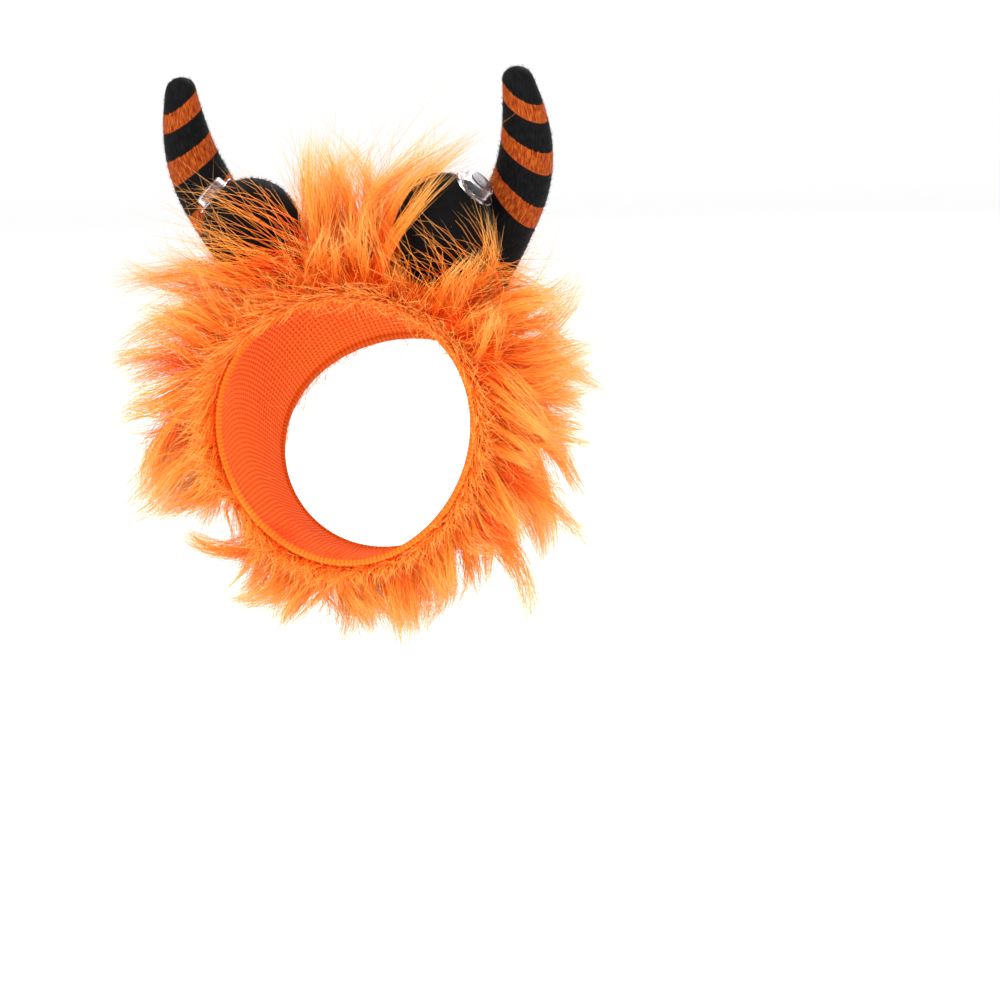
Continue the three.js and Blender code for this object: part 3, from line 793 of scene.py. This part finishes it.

# Orange acrylic fur with a soft sheen, each fibre a little lighter or darker than the next. Along each
# fibre the colour is painted shade and light: deep at the root for the shade among the fibres, lighter
# and yellower at the tip for the light that catches and shines through the tips
material, tree, shader = start_material("orange acrylic fur")
place = add_node(tree, "ShaderNodeUVMap", fields={"uv_map": "OFBake"})
split = add_node(tree, "ShaderNodeSeparateXYZ", links={"Vector": place.outputs["UV"]})
# Painted shade at the root and painted highlight at the tip of each fibre
root_shade_tip_light = add_ramp(
    tree, split.outputs["Y"], [(0.0, "#F03400"), (0.25, "#FF7410"), (0.6, "#FFA236"), (1.0, "#FFC872")]
)
column = work_out(tree, "FLOOR", work_out(tree, "MULTIPLY", split.outputs["X"], TINTS))
chance = add_node(tree, "ShaderNodeTexWhiteNoise", {"noise_dimensions": "1D"}, None, {"W": column})
tint = add_ramp(tree, chance.outputs["Value"], [(0.0, "#FFDCC8"), (0.5, "#FFF4EC"), (1.0, "#FFFFFF")])
coloured = add_node(
    tree,
    "ShaderNodeMix",
    {"data_type": "RGBA", "blend_type": "MULTIPLY"},
    {0: 1.0},
    {6: root_shade_tip_light, 7: tint},
)
set_sockets(shader, Roughness=0.5, Specular_IOR_Level=0.25)
tree.links.new(coloured.outputs[2], shader.inputs["Base Color"])


def tint_corners(count):
    """A random column of the fur's map for each fibre, its full height."""
    column = (dice.integers(0, TINTS, count) + 0.15) / TINTS
    return np.column_stack([column, np.zeros(count), np.full(count, 0.7 / TINTS), np.ones(count)])


long_parts = np.array_split(long_paths[dice.permutation(len(long_paths))], LONG_PARTS)
bundles = [
    (f"mane_fibres_{number + 1}", part, long_shares, 0.7, 1.2) for number, part in enumerate(long_parts)
]
bundles += [
    ("mane_short_fibres", short_paths, short_shares, 0.9, 1.4),
    ("mane_single_fibres", single_paths, short_shares, 0.9, 1.4),
    ("mane_loose_locks", loose_paths, long_shares, 0.4, 0.9),
]
for name, paths, shares, thinnest, thickest in bundles:
    width = FIBRE_WIDTH * dice.uniform(thinnest, thickest, len(paths))
    piece = fibre_mesh(name, paths, shares, width, tint_corners(len(paths)))
    piece.data.materials.append(material)
    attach(piece, "root")
    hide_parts("mane_fur")

# Horns
# Each is a slim cone of black short-pile plush with orange stripes printed across it at a slant. It
# is sewn up along its inner edge, stuffed firmly and stitched to the crown behind its ball.
HORN_HEIGHT = 101 * MM
HORN_SPLAY = 35 * MM
HORN_NOD = 22 * MM
HORN_SIDES = 32
HORN_PILE = 7000
PILE_LENGTH = 1.5 * MM
PILE_WIDTH = 0.2 * MM
# Each row: place along the horn, shares of its rise, splay, nod and radius
HORN_SECTIONS = np.array([
    [0.0, 0.0, 0.0, 0.0, 1.0],
    [0.14, 0.13, 0.17, 0.0, 1.01],
    [0.28, 0.26, 0.38, 0.02, 1.0],
    [0.42, 0.4, 0.62, 0.1, 0.98],
    [0.57, 0.55, 0.86, 0.26, 0.92],
    [0.72, 0.7, 0.98, 0.48, 0.81],
    [0.84, 0.83, 1.0, 0.7, 0.66],
    [0.93, 0.93, 0.985, 0.87, 0.51],
    [0.985, 0.985, 0.965, 0.97, 0.36],
    [1.0, 1.0, 0.95, 1.0, 0.1],
])
TIP_FROM = 0.88
TIP_SLANT = math.radians(13)
NAP_TUFTS = (100, 34, 1)
STRIPE_FRAY = 0.012
# Print colours, and the lighter colours of the painted sheen streaks on the nap
BLACK_PLUSH = "#050404"
BLACK_PAINTED_SHEEN = "#14161B"
ORANGE_PLUSH = "#702006"
ORANGE_PAINTED_SHEEN = "#AA5416"
# How far each horn's stripes slant, and where each stripe begins and ends, in mm from the tip
SLANTS = {"left": 5.6 * MM, "right": 4.2 * MM}
STRIPES = {
    "left": (9.5, 16.5, 27.5, 35.5, 47.5, 55.5),
    "right": (10, 17.5, 28, 37, 49, 57),
}


def scatter(piece, count):
    """Random places all over a piece: points, ways out, and places on its map."""
    mesh = piece.data
    mesh.calc_loop_triangles()
    triangles = mesh.loop_triangles
    corners = np.array([t.vertices for t in triangles])
    loops = np.array([t.loops for t in triangles])
    areas = np.array([t.area for t in triangles])
    points = np.array([v.co for v in mesh.vertices])
    normals = np.array([v.normal for v in mesh.vertices])
    places = np.array([d.uv for d in mesh.uv_layers["OFBake"].data])
    chosen = dice.choice(len(areas), count, p=areas / areas.sum())
    share = dice.dirichlet((1, 1, 1), count)[:, :, None]
    point = (points[corners[chosen]] * share).sum(axis=1)
    normal = unit((normals[corners[chosen]] * share).sum(axis=1))
    place = (places[loops[chosen]] * share).sum(axis=1)
    return point, normal, place


def add_pile(piece, count, nap):
    """Stands short hairs on a plush piece, leaning by its nap, and joins them to it."""
    point, normal, place = scatter(piece, count)
    heading = unit(normal + nap(point) + dice.normal(size=(count, 3)) * 0.35)
    length = PILE_LENGTH * dice.uniform(0.6, 1.2, (count, 1))
    paths = np.stack([point - normal * 0.2 * MM, point + heading * length], axis=1)
    width = PILE_WIDTH * dice.uniform(0.7, 1.2, count)
    corner = np.column_stack([place, np.full((count, 2), 0.003)])
    hairs = fibre_mesh("pile", paths, np.array([0, 1.0]), width, corner)
    bpy.ops.object.select_all(action="DESELECT")
    hairs.select_set(True)
    piece.select_set(True)
    bpy.context.view_layer.objects.active = piece
    bpy.ops.object.join()


def cut_by_hood(piece):
    """Cuts off what of a piece would reach through the knit."""
    taper = CHIN_TAPER / (1 - CHIN_TAPER / 2)
    rings = [hood_ring(at, KNIT) for at in np.linspace(0.0, 1.0, 15)]
    filling = draw_out("filling", rings, KNIT_SIDES, True, taper)
    apply_modifier(piece, "BOOLEAN", object=filling, operation="DIFFERENCE", solver="EXACT")
    bpy.data.objects.remove(filling)


def turns_to(ahead):
    """The turns about X and then Y that bring straight up to a direction."""
    return math.asin(-ahead[1]), math.atan2(ahead[0], ahead[2])


horn_places = np.concatenate([np.linspace(0, 0.93, 20), [0.955, 0.975, 0.988, 1.0]])
rise, splay, nod, radius = read_table(HORN_SECTIONS, horn_places).T
foot_place = CROWN_AT + HORN_BEHIND / HOOD_DEPTH
foot_turn = math.asin(2 * HORN_FOOT / HEAD_WIDTH)
foot = hood_points(np.array([foot_place]), np.array([foot_turn]), -HORN_RADIUS)[0]
horn_line = np.stack([
    HORN_FOOT + splay * HORN_SPLAY,
    HORN_BEHIND - nod * HORN_NOD,
    foot[2] + rise * HORN_HEIGHT,
], axis=1)
horn_steps = np.linalg.norm(np.diff(horn_line, axis=0), axis=1)
horn_lengths = np.concatenate([[0], np.cumsum(horn_steps)])
horn_ahead = unit(np.gradient(horn_line, axis=0))
for side, word in ((1, "left"), (-1, "right")):
    mirror = np.array([side, 1, 1])
    rings = []
    for at, middle, way, r in zip(horn_places, horn_line, horn_ahead, radius):
        about_x, about_y = turns_to(way * mirror)
        about_y += side * TIP_SLANT * max(0, at - TIP_FROM) / (1 - TIP_FROM)
        rings.append((middle * mirror, (r * HORN_RADIUS, r * HORN_RADIUS), about_x, about_y))
    horn = draw_out(f"horn_{word}_plush", rings, HORN_SIDES, True)
    map_rings(horn, HORN_SIDES, horn_lengths)
    apply_modifier(horn, "SUBSURF", levels=1, render_levels=1)
    cut_by_hood(horn)
    tip = rings[-1][0]
    add_pile(horn, HORN_PILE, lambda point: 1.2 * unit(tip - point))
    # Short-pile polyester plush, printed deep black and orange, with a nap that runs to the tip and frays
    # the edges of the stripes. The lighter streaks in each colour, bluish on the black, are painted sheen
    # for light caught by the nap
    material, tree, shader = start_material(f"striped plush {word}")
    place = add_node(tree, "ShaderNodeUVMap", {"uv_map": "OFBake"})
    split = add_node(tree, "ShaderNodeSeparateXYZ", links={"Vector": place.outputs["UV"]})
    sine = work_out(tree, "SINE", work_out(tree, "MULTIPLY", split.outputs["X"], 2 * math.pi))
    slant = work_out(tree, "MULTIPLY", sine, side * SLANTS[word] / horn_lengths[-1])
    stretched = add_node(
        tree,
        "ShaderNodeVectorMath",
        {"operation": "MULTIPLY"},
        {1: NAP_TUFTS},
        {0: place.outputs["UV"]},
    )
    fray_and_sheen_noise = add_node(
        tree, "ShaderNodeTexNoise", None, {"Scale": 1.0, "Detail": 3}, {"Vector": stretched.outputs[0]}
    )
    fray = work_out(tree, "MULTIPLY", work_out(tree, "SUBTRACT", fray_and_sheen_noise.outputs[0], 0.5), STRIPE_FRAY)
    from_tip = work_out(tree, "SUBTRACT", work_out(tree, "ADD", slant, 1.0), split.outputs["Y"])
    stops = [(0.0, "#000000")]
    for number, mm in enumerate(STRIPES[word]):
        stops.append((mm * MM / horn_lengths[-1], "#000000" if number % 2 else "#FFFFFF"))
    striped = add_ramp(tree, work_out(tree, "ADD", from_tip, fray), stops, "CONSTANT")
    # Painted sheen: each colour turns lighter in streaks where the stretched noise is high
    black = add_ramp(tree, fray_and_sheen_noise.outputs[0], [(0.45, BLACK_PLUSH), (0.8, BLACK_PAINTED_SHEEN)])
    orange = add_ramp(tree, fray_and_sheen_noise.outputs[0], [(0.38, ORANGE_PLUSH), (0.68, ORANGE_PAINTED_SHEEN)])
    coloured = add_node(
        tree, "ShaderNodeMix", {"data_type": "RGBA"}, links={0: striped, 6: black, 7: orange}
    )
    set_sockets(shader, Roughness=0.7, Specular_IOR_Level=0.08, Sheen_Weight=0.02, Sheen_Roughness=0.3)
    tree.links.new(coloured.outputs[2], shader.inputs["Base Color"])
    horn.data.materials.append(material)
    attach(horn, "root")
    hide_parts(f"horn_{word}")

# Plush balls
# Each is a ball of black velour, stuffed firmly and gathered to a short neck that is sewn to the
# crown in front of its horn.
BALL_SIDES = 40
BALL_PILE = 5000
for side, word in ((1, "left"), (-1, "right")):
    mirror = np.array([side, 1, 1])
    centre = BALL_CENTRE * mirror
    down = unit(BALL_AIM * mirror - centre)
    waist = math.asin(BALL_NECK_RADIUS / BALL_RADIUS)
    angles = np.linspace(waist + 0.15, math.pi - 0.06, 17)
    profile = [(24.5 * MM, 11.4 * MM), (19.5 * MM, 10.7 * MM), (16 * MM, 11.1 * MM)]
    profile += [(BALL_RADIUS * math.cos(a), BALL_RADIUS * math.sin(a)) for a in angles]
    rings = [(centre + down * reach, (r, r), *turns_to(-down)) for reach, r in profile]
    ball = draw_out(f"plush_ball_{word}_velour", rings, BALL_SIDES, True)
    steps = np.linalg.norm(np.diff(np.array(profile), axis=0), axis=1)
    map_rings(ball, BALL_SIDES, np.concatenate([[0], np.cumsum(steps)]))
    apply_modifier(ball, "SUBSURF", levels=1, render_levels=1)
    cut_by_hood(ball)
    add_pile(ball, BALL_PILE, lambda point: np.array([0, 0, -0.8]))
    # Black polyester velour: matt and very dark, with a faint sheen where it turns away
    material, tree, shader = start_material(f"black velour {word}")
    set_sockets(shader, Base_Color=linear(BLACK_PLUSH), Roughness=0.8, Specular_IOR_Level=0.08)
    set_sockets(shader, Sheen_Weight=0.02)
    ball.data.materials.append(material)
    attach(ball, "root")
    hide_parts(f"plush_ball_{word}")

# Clear domes
# Each is a cap moulded from clear plastic, with a flat rim that is glued high on its ball's outer side.
DOME_RADIUS = 8.6 * MM
DOME_CAP_RADIUS = 6.3 * MM
DOME_HEIGHT = 5 * MM
DOME_SHOULDER = 1.7 * MM
DOME_WALL = 0.9 * MM
DOME_SINK = 0.9 * MM
DOME_LIFT = math.radians(43)
DOME_FORWARD = math.radians(9)
DOME_SIDES = 48
DOME_EDGE = 0.2 * MM
for side, word in ((1, "left"), (-1, "right")):
    axis = np.array([
        side * math.cos(DOME_LIFT) * math.cos(DOME_FORWARD),
        -math.cos(DOME_LIFT) * math.sin(DOME_FORWARD),
        math.sin(DOME_LIFT),
    ])
    seat = BALL_CENTRE * np.array([side, 1, 1]) + axis * (BALL_RADIUS - DOME_SINK)
    inner = DOME_SHOULDER - DOME_WALL
    flat = DOME_CAP_RADIUS - DOME_SHOULDER
    bends = np.linspace(0, math.pi / 2, 7)
    profile = [(0.4 * MM, DOME_HEIGHT - DOME_WALL), (flat / 2, DOME_HEIGHT - DOME_WALL)]
    profile += [
        (flat + inner * math.sin(a), DOME_HEIGHT - DOME_SHOULDER + inner * math.cos(a)) for a in bends
    ]
    profile += [
        (DOME_CAP_RADIUS - DOME_WALL, DOME_EDGE),
        (DOME_CAP_RADIUS - DOME_WALL + DOME_EDGE, 0),
        (DOME_RADIUS - DOME_EDGE, 0),
        (DOME_RADIUS, DOME_EDGE),
        (DOME_RADIUS, DOME_WALL - DOME_EDGE),
        (DOME_RADIUS - DOME_EDGE, DOME_WALL),
        (DOME_CAP_RADIUS + DOME_EDGE, DOME_WALL),
        (DOME_CAP_RADIUS, DOME_WALL + DOME_EDGE),
    ]
    profile += [
        (flat + DOME_SHOULDER * math.cos(a), DOME_HEIGHT - DOME_SHOULDER + DOME_SHOULDER * math.sin(a))
        for a in bends
    ]
    profile += [(flat / 2, DOME_HEIGHT), (0.4 * MM, DOME_HEIGHT)]
    rings = [(seat + axis * rise, (r, r), *turns_to(axis)) for r, rise in profile]
    dome = draw_out(f"clear_dome_{word}_plastic", rings, DOME_SIDES, True)
    bpy.ops.object.shade_smooth_by_angle(angle=math.radians(40))
    # Clear moulded plastic, glossy and a little cloudy, so it shows by its pale edges
    material, tree, shader = start_material(f"clear plastic {word}")
    set_sockets(shader, Base_Color=linear("#F4F5FA"), Roughness=0.13, IOR=1.4, Transmission_Weight=1.0)
    dome.data.materials.append(material)
    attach(dome, "root")
    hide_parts(f"clear_dome_{word}")

bpy.ops.object.select_all(action="DESELECT")
